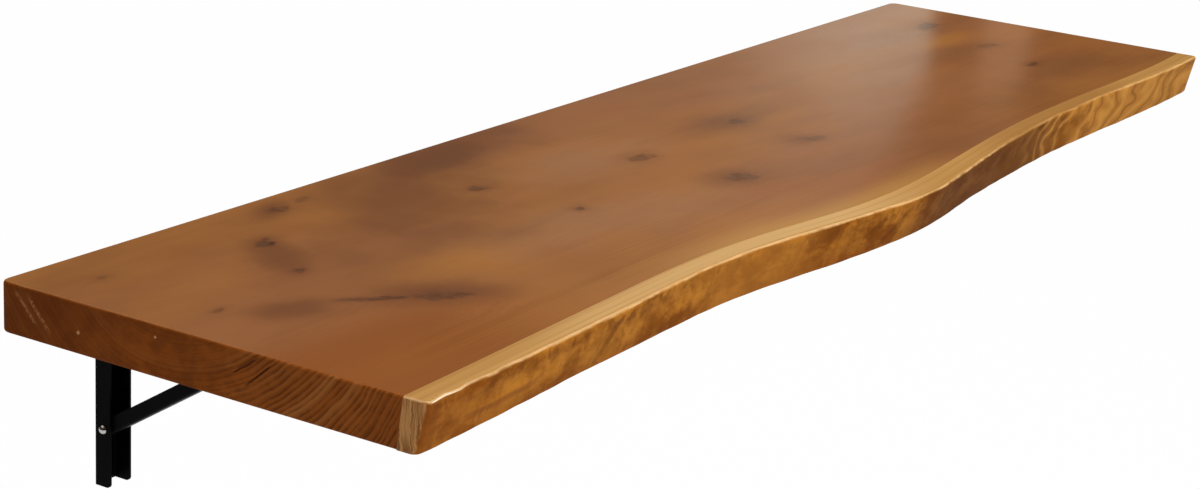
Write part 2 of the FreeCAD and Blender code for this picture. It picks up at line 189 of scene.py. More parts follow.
spring_strip, tree, shader, place = new_finish("spring_steel")
mill = cloud(tree, place["Object"], (2600.0, 60.0, 60.0), detail=3.0)
feed(tree, blend(tree, mill, tone(92, 94, 98), tone(128, 130, 134)), shader.inputs["Base Color"])
feed(tree, between(tree, mill, 0.3, 0.7, 0.26, 0.4), shader.inputs["Roughness"])
shader.inputs["Metallic"].default_value = 1.0
strip_sheet = 0.0006
strip_steps = 28
strip_crease = 40
clamped_share = 0.33
tip_round = 0.002
tip_steps = 6
tip_room = 0.0001
for side in ("left", "right"):
    low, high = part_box(f"{side}_lever_spring")
    middle_x = (low.x + high.x) / 2.0
    form = bmesh.new()
    bmesh.ops.create_grid(form, x_segments=1, y_segments=strip_steps, size=0.5)
    for vert in form.verts:
        reach = 0.5 - vert.co.y
        bent = max(0.0, (reach - clamped_share) / (1.0 - clamped_share))
        sag = (high.z - low.z - strip_sheet) * bent * bent * (3.0 - bent) / 2.0
        vert.co = (middle_x + (high.x - low.x) * vert.co.x, high.y + (low.y - high.y) * reach, high.z - sag)
    lower_side = bmesh.ops.extrude_face_region(form, geom=form.faces[:])["geom"]
    lower_verts = [part for part in lower_side if isinstance(part, bmesh.types.BMVert)]
    bmesh.ops.translate(form, verts=lower_verts, vec=(0.0, 0.0, -strip_sheet))
    bmesh.ops.recalc_face_normals(form, faces=form.faces)
    upright = [edge for edge in form.edges
               if abs(edge.verts[0].co.z - edge.verts[1].co.z) > strip_sheet * 0.9]
    tip = [edge for edge in upright if max(vert.co.y for vert in edge.verts) < low.y + tip_room]
    bmesh.ops.bevel(form, geom=tip, offset=tip_round, offset_type="OFFSET", affect="EDGES",
                    segments=tip_steps, profile=0.5, material=-1)
    bent_spring = new_piece(f"{side}_bent_spring", form, strip_crease)
    bent_spring.data.materials.append(spring_strip)
    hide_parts(f"{side}_lever_spring")
    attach(bent_spring, "leaf")
    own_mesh(bent_spring)


# Wood screws that hold the leaf arms to the plank, with round heads.
# Zinc plated steel, a little duller than the rivets and faintly yellow.
zinc_plate, tree, shader, place = new_finish("zinc_plated_screw")
bloom = cloud(tree, place["Object"], (500.0, 500.0, 500.0), detail=4.0, roughness=0.7)
feed(tree, blend(tree, bloom, tone(168, 164, 150), tone(206, 202, 190)), shader.inputs["Base Color"])
feed(tree, between(tree, bloom, 0.3, 0.7, 0.24, 0.4), shader.inputs["Roughness"])
shader.inputs["Metallic"].default_value = 1.0
for side in ("left", "right"):
    put_on(zinc_plate, f"{side}_leaf_screws")


# The plank: one thick flat-sawn board, stained brown, with a satin lacquer on its top.
# Its growth rings lie round a heart above the top face, so they show as hanging arcs on the
# sawn ends and as long lines on the top, which bend round the knots.
heart_depth = 0.173
heart_height = 0.212
ring_step = 0.0046


def new_group(name, inputs, outputs):
    """A fresh node group with its named sockets."""
    group = bpy.data.node_groups.new(name, "ShaderNodeTree")
    for label, kind in inputs.items():
        group.interface.new_socket(label, in_out="INPUT", socket_type=kind)
    for label in outputs:
        group.interface.new_socket(label, in_out="OUTPUT", socket_type="NodeSocketFloat")
    return group, group.nodes.new("NodeGroupInput").outputs, group.nodes.new("NodeGroupOutput").inputs


def use(tree, group, values):
    """Sets a node group into a finish with its own values."""
    step = tree.nodes.new("ShaderNodeGroup")
    step.node_tree = group
    for label, value in values.items():
        feed(tree, value, step.inputs[label])
    return step.outputs


def split(tree, vector):
    """The three parts of a vector."""
    parts = tree.nodes.new("ShaderNodeSeparateXYZ")
    feed(tree, vector, parts.inputs[0])
    return parts.outputs


def join(tree, *values):
    """A vector from its three parts."""
    parts = tree.nodes.new("ShaderNodeCombineXYZ")
    for value, socket in zip(values, parts.inputs):
        feed(tree, value, socket)
    return parts.outputs[0]


def sum_of(tree, operation, *values):
    """One arithmetic step of a finish."""
    step = tree.nodes.new("ShaderNodeMath")
    step.operation = operation
    for value, socket in zip(values, step.inputs):
        feed(tree, value, socket)
    return step.outputs[0]


def times(tree, *values):
    """All the given shares multiplied."""
    product = values[0]
    for value in values[1:]:
        product = sum_of(tree, "MULTIPLY", product, value)
    return product


number = "NodeSocketFloat"
vector = "NodeSocketVector"
# Grain and growth rings, by the run along the wood and the reach across its rings
wood_lines, given, result = new_group("wood_lines", {"Along": number, "Across": number},
                                      ("Fine", "Broad", "Rings"))
where = join(wood_lines, given["Along"], given["Across"])
feed(wood_lines, cloud(wood_lines, where, (2.6, 420.0, 1.0), detail=4.0, roughness=0.6), result["Fine"])
feed(wood_lines, cloud(wood_lines, where, (1.8, 75.0, 1.0), detail=3.0, roughness=0.55), result["Broad"])
drift = cloud(wood_lines, where, (1.7, 60.0, 1.0))
ring_count = sum_of(wood_lines, "DIVIDE", given["Across"], ring_step)
year = sum_of(wood_lines, "FRACT", sum_of(wood_lines, "ADD", ring_count, times(wood_lines, drift, 2.6)))
late_wood = times(wood_lines, between(wood_lines, year, 0.3, 0.86),
                  between(wood_lines, year, 0.88, 1.0, 1.0, 0.0))
feed(wood_lines, late_wood, result["Rings"])

# A knot or stained area with a torn outline, and how far it pushes the grain aside
sockets = {"Place": vector, "Centre": vector, "Tear": vector,
           "Half Length": number, "Half Width": number, "Turn": number}
knot_mark, given, result = new_group("knot_mark", sockets, ("Core", "Halo", "Push"))
turned = knot_mark.nodes.new("ShaderNodeVectorRotate")
turned.rotation_type = "Z_AXIS"
feed(knot_mark, vector_of(knot_mark, "SUBTRACT", given["Place"], given["Centre"]), turned.inputs["Vector"])
feed(knot_mark, times(knot_mark, given["Turn"], -1.0), turned.inputs["Angle"])
spread = join(knot_mark, sum_of(knot_mark, "DIVIDE", 1.0, given["Half Length"]),
              sum_of(knot_mark, "DIVIDE", 1.0, given["Half Width"]))
flat = vector_of(knot_mark, "MULTIPLY", turned.outputs[0], spread)
away = vector_of(knot_mark, "LENGTH", vector_of(knot_mark, "ADD", flat, given["Tear"]))
heart = times(knot_mark, between(knot_mark, away, 0.1, 0.5, 1.0, 0.0), 0.12)
core = between(knot_mark, away, 0.42, 1.08, 1.0, 0.0)
feed(knot_mark, sum_of(knot_mark, "SUBTRACT", core, heart), result["Core"])
halo = between(knot_mark, away, 0.3, 3.4, 1.0, 0.0)
feed(knot_mark, times(knot_mark, halo, halo), result["Halo"])
feed(knot_mark, times(knot_mark, split(knot_mark, flat)[1], halo, given["Half Width"], 0.9), result["Push"])

# A line from one point to another that fades out at both ends
sockets = {"Place": vector, "Start": vector, "Finish": vector, "Half Width": number}
short_line, given, result = new_group("short_line", sockets, ("Mask",))
run = vector_of(short_line, "SUBTRACT", given["Finish"], given["Start"])
offset = vector_of(short_line, "SUBTRACT", given["Place"], given["Start"])
share = sum_of(short_line, "DIVIDE", vector_of(short_line, "DOT_PRODUCT", offset, run),
               vector_of(short_line, "DOT_PRODUCT", run, run))
on_line = vector_of(short_line, "PROJECT", offset, run)
aside = vector_of(short_line, "LENGTH", vector_of(short_line, "SUBTRACT", offset, on_line))
dark_width = times(short_line, given["Half Width"], 0.3)
stroke = times(short_line, between(short_line, aside, dark_width, given["Half Width"], 1.0, 0.0),
               between(short_line, share, 0.0, 0.25), between(short_line, share, 0.75, 1.0, 1.0, 0.0))
feed(short_line, stroke, result["Mask"])

# Knots by place along the plank and from the wall, half length, half width, turn in degrees
# and depth of stain
knots = (
    (-0.497, -0.087, 0.0125, 0.0090, 20, 0.95),
    (-0.531, -0.149, 0.0080, 0.0065, 0, 0.62),
    (-0.418, -0.033, 0.0140, 0.0090, 10, 0.55),
    (-0.382, -0.029, 0.0100, 0.0060, 0, 0.35),
    (-0.254, -0.114, 0.0110, 0.0080, -10, 0.75),
    (-0.245, -0.213, 0.0075, 0.0060, 0, 0.60),
    (-0.074, -0.162, 0.0170, 0.0120, 0, 0.58),
    (-0.066, -0.262, 0.0190, 0.0140, -20, 0.58),
    (0.101, -0.156, 0.0150, 0.0090, 10, 0.52),
    (0.098, -0.242, 0.0200, 0.0110, -18, 0.42),
    (0.615, -0.092, 0.0210, 0.0120, 28, 0.66),
    (0.577, -0.183, 0.0170, 0.0080, -8, 0.45),
    (0.530, -0.257, 0.0110, 0.0065, 0, 0.70),
    (-0.644, -0.054, 0.0080, 0.0050, 0, 0.40),
    (-0.646, -0.168, 0.0080, 0.0040, 0, 0.45),
    (-0.546, -0.236, 0.0300, 0.0055, -38, 0.72),
    (-0.508, -0.268, 0.0270, 0.0150, -40, 0.60),
)
# Darker areas of the stain, in the same way; these have no edge of their own
dark_areas = (
    (-0.606, -0.210, 0.0250, 0.0140, -22, 0.70),
    (-0.515, -0.116, 0.0280, 0.0130, 54, 0.62),
    (-0.424, -0.032, 0.0200, 0.0090, 24, 0.55),
    (-0.505, -0.262, 0.0340, 0.0160, -32, 0.70),
    (-0.310, -0.085, 0.0900, 0.0460, 30, 0.74),
    (-0.190, -0.030, 0.0800, 0.0300, 12, 0.88),
    (0.090, -0.150, 0.0200, 0.0150, 0, 0.40),
    (0.085, -0.232, 0.0180, 0.0110, -20, 0.35),
    (-0.075, -0.255, 0.0200, 0.0160, 0, 0.40),
    (0.560, -0.300, 0.0600, 0.0250, 0, 0.45),
    (0.390, -0.315, 0.0650, 0.0260, 0, 0.42),
)
# Lighter, more amber areas
amber_areas = (
    (-0.420, -0.225, 0.0450, 0.0200, -6, 0.85),
    (-0.640, -0.335, 0.0400, 0.0120, 0, 0.60),
    (-0.300, -0.190, 0.0300, 0.0110, 0, 0.45),
    (0.570, -0.140, 0.0300, 0.0110, 6, 0.85),
    (0.150, -0.180, 0.0300, 0.0090, 0, 0.35),
    (-0.180, -0.330, 0.0600, 0.0120, 0, 0.40),
)
# Duller, greyer areas
dull_areas = (
    (-0.260, -0.245, 0.0900, 0.0300, -8, 0.50),
    (-0.120, -0.130, 0.0600, 0.0300, 0, 0.45),
)


def crooked_noise(tree, place, scale, detail=2.0, roughness=0.5):
    """Noise in three parts that pushes an outline about; the scale is in spots per metre."""
    spots = tree.nodes.new("ShaderNodeTexNoise")
    spots.inputs["Scale"].default_value = scale
    spots.inputs["Detail"].default_value = detail
    spots.inputs["Roughness"].default_value = roughness
    feed(tree, place, spots.inputs["Vector"])
    return spots.outputs


stained_plank, tree, shader, place = new_finish("stained_plank")
parts = split(tree, place["Object"])
ragged = crooked_noise(tree, place["Object"], 48.0, detail=6.0, roughness=0.56)
tear = vector_of(tree, "MULTIPLY_ADD", ragged["Color"], (1.5, 1.5, 0.0), (-0.75, -0.75, 0.0))
frayed = crooked_noise(tree, place["Object"], 85.0, detail=1.0)
fringe = vector_of(tree, "MULTIPLY_ADD", frayed["Color"], (1.1, 0.9, 0.0), (-0.55, -0.45, 0.0))
tear = vector_of(tree, "ADD", tear, fringe)
drifting = crooked_noise(tree, place["Object"], 16.0, detail=2.5)
soft_edge = vector_of(tree, "MULTIPLY_ADD", drifting["Color"], (1.8, 1.8, 0.0), (-0.9, -0.9, 0.0))


def mark_at(outline, along, back, half_length, half_width, turn):
    """One knot or stained area, running straight through the plank."""
    centre = join(tree, along, back, parts[2])
    return use(tree, knot_mark, {"Place": place["Object"], "Centre": centre, "Tear": outline,
                                 "Half Length": half_length, "Half Width": half_width,
                                 "Turn": math.radians(turn)})


def soft_areas(spots):
    """Several stained areas without an edge, as one share."""
    shade = 0.0
    for *spot, strength in spots:
        shade = sum_of(tree, "MAXIMUM", shade, times(tree, mark_at(soft_edge, *spot)["Halo"], strength))
    return shade


stain = 0.0
shadow = 0.0
push = 0.0
for *spot, strength in knots:
    mark = mark_at(tear, *spot)
    stain = sum_of(tree, "MAXIMUM", stain, times(tree, mark["Core"], strength))
    shadow = sum_of(tree, "MAXIMUM", shadow, times(tree, mark["Halo"], strength))
    push = sum_of(tree, "ADD", push, mark["Push"])
dusk = soft_areas(dark_areas)
honey = soft_areas(amber_areas)
dullness = soft_areas(dull_areas)

sway = sum_of(tree, "MULTIPLY_ADD", cloud(tree, place["Object"], (1.1, 2.6, 2.6)), 0.07, -0.035)
wobble = sum_of(tree, "MULTIPLY_ADD", cloud(tree, place["Object"], (4.0, 9.0, 9.0)), 0.012, -0.006)
ripple = sum_of(tree, "MULTIPLY_ADD", cloud(tree, place["Object"], (6.0, 45.0, 45.0)), 0.0044, -0.0022)
stray = sum_of(tree, "ADD", sway, sum_of(tree, "ADD", wobble, ripple))
level = sum_of(tree, "ADD", sum_of(tree, "ADD", parts[1], push), stray)
from_heart = join(tree, sum_of(tree, "ADD", level, heart_depth),
                  sum_of(tree, "SUBTRACT", parts[2], heart_height))
ring_reach = vector_of(tree, "LENGTH", from_heart)
lines = use(tree, wood_lines, {"Along": parts[0], "Across": ring_reach})

facing = split(tree, place["Normal"])
sawn_end = between(tree, sum_of(tree, "ABSOLUTE", facing[0]), 0.2, 0.6)
lacquered = between(tree, facing[2], 0.985, 0.999)
front_share = between(tree, parts[1], -0.35, -0.2, 1.0, 0.3)

patch = cloud(tree, place["Object"], (3.2, 8.0, 8.0), detail=4.0, roughness=0.55)
cast = cloud(tree, vector_of(tree, "ADD", place["Object"], (7.3, 2.1, 0.0)), (2.2, 6.0, 6.0), detail=3.0)
brown = blend(tree, between(tree, cast, 0.36, 0.64), tone(156, 101, 53), tone(147, 94, 57))
brown = blend(tree, between(tree, patch, 0.42, 0.72, 0.0, 0.55), brown, tone(121, 76, 45))
ruddy = cloud(tree, vector_of(tree, "ADD", place["Object"], (1.9, 5.2, 0.0)), (3.6, 9.0, 9.0), detail=3.0)
brown = blend(tree, between(tree, ruddy, 0.5, 0.72, 0.0, 0.36), brown, tone(143, 84, 46))
brown = blend(tree, times(tree, honey, 0.62), brown, tone(172, 112, 48))
brown = blend(tree, dullness, brown, tone(154, 110, 80))
brown = blend(tree, dusk, brown, tone(104, 63, 40))
left_front = times(tree, between(tree, parts[0], -0.6, -0.42, 1.0, 0.0),
                   between(tree, parts[1], -0.3, -0.22, 1.0, 0.0))
brown = blend(tree, times(tree, left_front, 0.8), brown, tone(136, 76, 31))
line_patch = between(tree, cloud(tree, place["Object"], (4.0, 14.0, 14.0), detail=2.0), 0.44, 0.62, 0.1, 1.0)
line_share = times(tree, front_share, line_patch)
broad_share = times(tree, between(tree, lines["Broad"], 0.45, 0.75, 0.0, 0.3), line_share)
brown = blend(tree, broad_share, brown, tone(116, 66, 30))
brown = blend(tree, between(tree, lines["Fine"], 0.4, 0.8, 0.0, 0.08), brown, tone(108, 62, 32))
brown = blend(tree, times(tree, lines["Rings"], line_share, 0.13), brown, tone(104, 58, 26))
brown = blend(tree, times(tree, shadow, 0.6), brown, tone(108, 64, 41))
knot_brown = blend(tree, between(tree, frayed["Fac"], 0.4, 0.6), tone(62, 37, 28), tone(88, 60, 42))
brown = blend(tree, times(tree, stain, 0.82), brown, knot_brown)

# The plank turns pale just behind the joint with the live edge, along the middle of its length
strip_form = BVHTree.FromObject(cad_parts["live_edge_strip"], bpy.context.evaluated_depsgraph_get())
half_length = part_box("live_edge_strip")[1].x
upper_probe = 0.122
lower_probe = 0.098


def meets(along, height, start, way):
    """Where a level line across the plank meets the strip, coming from the wall or from the front."""
    return strip_form.ray_cast(Vector((along, start, height)), Vector((0.0, way, 0.0)))[0].y


def sloped(high_value, low_value, height):
    """A straight slope through two probed heights."""
    share = (height - lower_probe) / (upper_probe - lower_probe)
    return low_value + (high_value - low_value) * share


inside_start = -0.3
outside_start = -0.5
joint_near = -0.30
joint_span = 0.12
joint_steps = 14
joint_inset = 0.999
joint_line = tree.nodes.new("ShaderNodeFloatCurve")
joint_curve = joint_line.mapping.curves[0]
for step in range(joint_steps + 1):
    along = (2.0 * step / joint_steps - 1.0) * half_length * joint_inset
    probed = [meets(along, height, inside_start, -1.0) for height in (upper_probe, lower_probe)]
    depth = sloped(*probed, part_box("heartwood_board")[1].z)
    spot = (step / joint_steps, (joint_near - depth) / joint_span)
    if step in (0, joint_steps):
        joint_curve.points[0 if step == 0 else -1].location = spot
    else:
        joint_curve.points.new(*spot)
joint_line.mapping.update()
feed(tree, sum_of(tree, "MULTIPLY_ADD", parts[0], 0.5 / half_length, 0.5), joint_line.inputs["Value"])
joint_depth = sum_of(tree, "MULTIPLY_ADD", joint_line.outputs[0], -joint_span, joint_near)
behind = sum_of(tree, "SUBTRACT", parts[1], joint_depth)
behind = sum_of(tree, "ADD", behind, sum_of(tree, "MULTIPLY_ADD", lines["Fine"], 0.012, -0.006))
fade = times(tree, between(tree, behind, 0.0, 0.036, 1.0, 0.0), between(tree, parts[0], -0.42, -0.2),
             between(tree, parts[0], 0.0, 0.17, 1.0, 0.0))
brown = blend(tree, times(tree, fade, 0.62), brown, tone(183, 134, 68))

# The sawn ends drink more stain; a few checks and pale streaks cross the left one
crooked = vector_of(tree, "MULTIPLY_ADD", ragged["Color"], (0.0, 0.004, 0.004), (0.0, -0.002, -0.002))
end_place = vector_of(tree, "ADD", place["Object"], crooked)
end_front = between(tree, parts[1], -0.27, -0.19, 1.0, 0.3)
end_brown = blend(tree, between(tree, patch, 0.35, 0.65), tone(139, 71, 20), tone(113, 56, 16))
blotch = cloud(tree, place["Object"], (30.0, 46.0, 60.0), detail=4.0, roughness=0.6)
end_brown = blend(tree, between(tree, blotch, 0.4, 0.64, 0.0, 0.62), end_brown, tone(92, 43, 12))
end_brown = blend(tree, times(tree, end_front, 0.6), end_brown, tone(150, 82, 32))
broad_rings = times(tree, between(tree, lines["Broad"], 0.5, 0.72), end_front, 0.55)
end_brown = blend(tree, broad_rings, end_brown, tone(172, 110, 56))
by_wall = between(tree, parts[1], -0.13, -0.05, 0.0, 0.4)
end_brown = blend(tree, by_wall, end_brown, tone(92, 42, 12))
ring_shade = times(tree, lines["Rings"], end_front, between(tree, blotch, 0.34, 0.6, 0.25, 0.62))
end_brown = blend(tree, ring_shade, end_brown, tone(64, 29, 8))
end_brown = blend(tree, between(tree, lines["Fine"], 0.42, 0.8, 0.0, 0.36), end_brown, tone(84, 40, 11))


def end_marks(half_width, *runs):
    """Short lines on the left end, by place from the wall and height of both their ends."""
    mask = 0.0
    for start, finish in runs:
        line = use(tree, short_line, {"Place": end_place, "Start": (-half_length, *start),
                                      "Finish": (-half_length, *finish), "Half Width": half_width})
        mask = sum_of(tree, "MAXIMUM", mask, line["Mask"])
    return mask


checks = end_marks(0.0011, ((-0.226, 0.109), (-0.253, 0.128)), ((-0.239, 0.103), (-0.266, 0.1255)))
streaks = end_marks(0.0022, ((-0.016, 0.1285), (-0.042, 0.101)), ((-0.029, 0.1265), (-0.056, 0.0975)))
crumbs = cloud(tree, place["Object"], (200.0, 420.0, 420.0), detail=3.0)
crumbled = times(tree, streaks, between(tree, crumbs, 0.4, 0.62, 0.12, 0.62))
end_brown = blend(tree, crumbled, end_brown, tone(184, 122, 76))
chips = end_marks(0.0019, ((-0.0812, 0.1078), (-0.0828, 0.1052)), ((-0.1562, 0.1217), (-0.1578, 0.1197)))
end_brown = blend(tree, times(tree, chips, 0.62), end_brown, tone(214, 162, 116))
end_brown = blend(tree, times(tree, checks, 0.75), end_brown, tone(42, 17, 6))

feed(tree, blend(tree, sawn_end, brown, end_brown), shader.inputs["Base Color"])
sheen_patch = cloud(tree, place["Object"], (9.0, 16.0, 16.0), detail=3.0)
feed(tree, between(tree, sheen_patch, 0.3, 0.7, 0.46, 0.58), shader.inputs["Roughness"])
shader.inputs["Specular IOR Level"].default_value = 0.0
coat = times(tree, between(tree, lacquered, 0.0, 1.0, 0.05, 1.0),
             between(tree, sheen_patch, 0.3, 0.7, 0.82, 1.0))
feed(tree, coat, shader.inputs["Coat Weight"])
shader.inputs["Coat Roughness"].default_value = 0.11
shader.inputs["Coat IOR"].default_value = 1.45
ring_grooves = times(tree, lines["Rings"], sawn_end, end_front, -2.0)
pores = sum_of(tree, "ADD", times(tree, lines["Fine"], 0.4), ring_grooves)
pores = sum_of(tree, "ADD", pores, times(tree, checks, sawn_end, -8.0))
raise_bumps(tree, shader, pores, 0.00006)
put_on(stained_plank, "heartwood_board")


# The live edge: the pale sapwood along the front, with the tree's own wavy outline kept.
# Barked and scraped by hand, it has soft dents, a lengthwise ridge and a rubbed-over top edge,
# and its top takes the same lacquer as the plank that it is joined to.
top_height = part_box("live_edge_strip")[1].z
low_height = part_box("live_edge_strip")[0].z
front_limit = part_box("live_edge_strip")[0].y
soft_dent = 0.0012
small_dent = 0.0006
ridge_height = 0.1068
ridge_width = 0.0035
ridge_rise = 0.0015
ridge_sway = 0.002
# Where the ridge runs, by place along the plank, reach and strength
ridge_runs = ((-0.6, 0.05, 1.0), (-0.12, 0.06, 0.6))
scallop_depth = 0.0068
plain_scallops = 0.34
left_scallops = 1.4
left_middle = -0.6
left_reach = 0.12


def dents(along, height):
    """How far the scraped face lies behind the outline, in metres."""
    soft = noise.noise(Vector((along * 13.0, height * 42.0, 1.7)))
    small = noise.noise(Vector((along * 46.0, height * 75.0, 5.2)))
    off_ridge = height - ridge_height + ridge_sway * math.sin(along * 70.0)
    ridge_run = sum(strength * math.exp(-((along - centre) / reach) ** 2)
                    for centre, reach, strength in ridge_runs)
    ridge = ridge_rise * ridge_run * math.exp(-(off_ridge / ridge_width) ** 2)
    return soft_dent * soft + small_dent * small - ridge


def scallops(along):
    """The rubbed top edge's small waves, stronger near the left end."""
    strength = plain_scallops + left_scallops * math.exp(-((along - left_middle) / left_reach) ** 2)
    broad = abs(noise.noise(Vector((along * 24.0, 3.1, 0.0))))
    narrow = abs(noise.noise(Vector((along * 61.0, 6.4, 0.0))))
    return strength * scallop_depth * (broad + 0.4 * narrow)


end_insets = (0.0, 0.00015, 0.0005, 0.001, 0.0017, 0.0026, 0.0038, 0.0055, 0.008)
length_steps = 420
ends = [half_length - inset for inset in end_insets]
middle = [ends[-1] * (2.0 * step / length_steps - 1.0) for step in range(1, length_steps)]
stations = [-along for along in ends] + middle + ends[::-1]
face_steps = 14
top_shares = (0.0, 0.03, 0.2, 0.4, 0.6, 0.8, 0.93)
round_shares = (0.0, 0.2, 0.4, 0.6, 0.8)
face_shares = tuple(step / face_steps for step in range(face_steps + 1))
low_shares = (0.25, 0.5, 0.75, 1.0)
under_shares = (0.35, 0.7, 1.0)
all_shares = top_shares + round_shares + face_shares + low_shares + under_shares
section_count = len(all_shares) + 1
probe_inset = 0.00004
top_ease = 0.0025
low_ease = 0.0009
rub_radius = 0.0026
rub_change = 0.0009
foot_radius = 0.0008
corner_foot = 0.0036
corner_reach = 0.007
lip_height = 0.009


def section(along):
    """The strip's outline at one place, from the joint's top round the front and back."""
    probe = max(-half_length + probe_inset, min(half_length - probe_inset, along))
    joint = [meets(probe, height, inside_start, -1.0) for height in (upper_probe, lower_probe)]
    edge = [meets(probe, height, outside_start, 1.0) for height in (upper_probe, lower_probe)]
    from_end = half_length - abs(along)

    def inset(ease):
        """How far an eased edge lies in from its face, this near to the end."""
        short = ease - min(ease, from_end)
        return ease - math.sqrt(ease * ease - short * short)

    top = top_height - inset(top_ease)
    low = low_height + inset(low_ease)
    upper_round = rub_radius + rub_change * noise.noise(Vector((along * 31.0, 8.4, 0.0)))
    lower_round = foot_radius + corner_foot * math.exp(-from_end / corner_reach)
    joint_top = sloped(*joint, top_height)
    joint_low = sloped(*joint, low_height)

    def front(height):
        """How far the worked face reaches to the front at a height."""
        lip = max(0.0, 1.0 - (top - height) / lip_height)
        worked = dents(along, height) + scallops(along) * lip * lip
        return max(front_limit, sloped(*edge, height) + worked)

    start = front(top - upper_round) + upper_round
    points = [(joint_top + (start - joint_top) * share, top) for share in top_shares]
    for share in round_shares:
        turn = share * math.pi / 2
        points.append((start - upper_round * math.sin(turn), top - upper_round * (1.0 - math.cos(turn))))
    face_top = top - upper_round
    face_low = low + lower_round
    for share in face_shares:
        height = face_top + (face_low - face_top) * share
        points.append((front(height), height))
    foot = points[-1][0]
    for share in low_shares:
        turn = share * math.pi / 2
        points.append((foot + lower_round * (1.0 - math.cos(turn)), face_low - lower_round * math.sin(turn)))
    foot = points[-1][0]
    points += [(foot + (joint_low - foot) * share, low) for share in under_shares]
    points.append((joint_top, top))
    return points


face_crease = 48
weld_reach = 0.000001
form = bmesh.new()
across = form.verts.layers.float.new("across")
bmesh.ops.create_grid(form, x_segments=len(stations) - 1, y_segments=section_count - 1, size=0.5)
sections = [section(along) for along in stations]
for vert in form.verts:
    column = round((vert.co.x + 0.5) * (len(stations) - 1))
    row = round((vert.co.y + 0.5) * (section_count - 1))
    depth, height = sections[column][row]
    run = 0.0
    for first, second in zip(sections[column][:row], sections[column][1:row + 1]):
        run += math.hypot(second[0] - first[0], second[1] - first[1])
    vert[across] = run
    vert.co = (stations[column], depth, height)
bmesh.ops.remove_doubles(form, verts=form.verts, dist=weld_reach)
bmesh.ops.holes_fill(form, edges=[edge for edge in form.edges if edge.is_boundary])
bmesh.ops.recalc_face_normals(form, faces=form.faces)
live_edge = new_piece("live_edge", form, face_crease)

pale_sapwood, tree, shader, place = new_finish("pale_sapwood")
parts = split(tree, place["Object"])
run = tree.nodes.new("ShaderNodeAttribute")
run.attribute_name = "across"
lines = use(tree, wood_lines, {"Along": parts[0], "Across": run.outputs["Fac"]})
facing = split(tree, place["Normal"])
on_top = between(tree, facing[2], 0.55, 0.92)
rim = times(tree, between(tree, facing[2], 0.2, 0.55), between(tree, facing[2], 0.8, 0.98, 1.0, 0.0))
sawn_end = between(tree, sum_of(tree, "ABSOLUTE", facing[0]), 0.7, 0.95)

# The flat top of the strip, palest along the crest of the wave and browner where the wave runs back
pale = blend(tree, between(tree, lines["Broad"], 0.3, 0.7), tone(191, 143, 80), tone(179, 132, 71))
pale = blend(tree, between(tree, lines["Fine"], 0.4, 0.8, 0.0, 0.4), pale, tone(166, 118, 62))
pale_crest = times(tree, between(tree, parts[0], -0.6, -0.44),
                   between(tree, parts[0], -0.12, 0.06, 1.0, 0.0))
pale = blend(tree, times(tree, pale_crest, 0.5), pale, tone(212, 172, 114))
band_lines = cloud(tree, join(tree, parts[0], run.outputs["Fac"]), (1.4, 200.0, 1.0), detail=2.0)
pale = blend(tree, between(tree, band_lines, 0.46, 0.62, 0.0, 0.5), pale, tone(166, 118, 62))
run_back = times(tree, between(tree, parts[0], 0.12, 0.26), between(tree, parts[0], 0.44, 0.58, 1.0, 0.0))
pale = blend(tree, times(tree, run_back, 0.6), pale, tone(152, 103, 52))

# The scraped face, golden with soft mottling; painted shade darkens the hollow of the wave, where the face
# turns away from the light, and it is figured to its right
mottle = cloud(tree, place["Object"], (19.0, 20.0, 34.0), detail=6.0, roughness=0.66)
drift = cloud(tree, vector_of(tree, "ADD", place["Object"], (3.7, 0.0, 1.3)), (6.0, 6.0, 14.0), detail=2.0)
fibre = cloud(tree, place["Object"], (95.0, 40.0, 24.0), detail=4.0, roughness=0.6)
speck = cloud(tree, place["Object"], (170.0, 90.0, 190.0), detail=3.0, roughness=0.6)
scraped = blend(tree, between(tree, mottle, 0.38, 0.6), tone(130, 72, 18), tone(186, 119, 40))
scraped = blend(tree, between(tree, drift, 0.5, 0.72, 0.0, 0.5), scraped, tone(190, 126, 48))
scraped = blend(tree, between(tree, drift, 0.3, 0.46, 0.34, 0.0), scraped, tone(126, 66, 20))
scraped = blend(tree, between(tree, fibre, 0.46, 0.7, 0.0, 0.34), scraped, tone(120, 64, 16))
scraped = blend(tree, between(tree, speck, 0.5, 0.72, 0.0, 0.44), scraped, tone(118, 64, 18))
flaked = cloud(tree, place["Object"], (75.0, 40.0, 60.0), detail=4.0, roughness=0.6)
flecks = times(tree, between(tree, parts[2], 0.113, 0.122),
               between(tree, parts[2], 0.1255, 0.128, 1.0, 0.0), between(tree, flaked, 0.5, 0.62))
scraped = blend(tree, times(tree, flecks, 0.6), scraped, tone(112, 60, 18))
left_tint = sum_of(tree, "MAXIMUM", between(tree, parts[0], -0.692, -0.668, 0.7, 0.0),
                   between(tree, parts[0], -0.66, -0.58, 0.4, 0.0))
low_tint = sum_of(tree, "MAXIMUM", between(tree, parts[2], 0.092, 0.108, 0.4, 0.0), left_tint)
scraped = blend(tree, low_tint, scraped, tone(124, 64, 20))
crest = times(tree, between(tree, parts[0], -0.34, -0.27), between(tree, parts[0], -0.2, -0.13, 1.0, 0.0))
scraped = blend(tree, times(tree, crest, 0.4), scraped, tone(190, 124, 50))
# Painted shade: the face is darkened where the wave runs back and turns away from the light
hollow_painted_shade = times(tree, between(tree, parts[0], -0.05, 0.06), between(tree, parts[0], 0.28, 0.42, 1.0, 0.0))
scraped = blend(tree, times(tree, hollow_painted_shade, 0.74), scraped, tone(94, 53, 18))
swirl = cloud(tree, join(tree, parts[0], 0.0, parts[2]), (9.0, 1.0, 16.0), detail=2.0, roughness=0.5)
slant = sum_of(tree, "MULTIPLY_ADD", parts[2], -0.85, parts[0])
flame = sum_of(tree, "PINGPONG", sum_of(tree, "MULTIPLY_ADD", slant, 24.0, times(tree, swirl, 5.0)), 0.5)
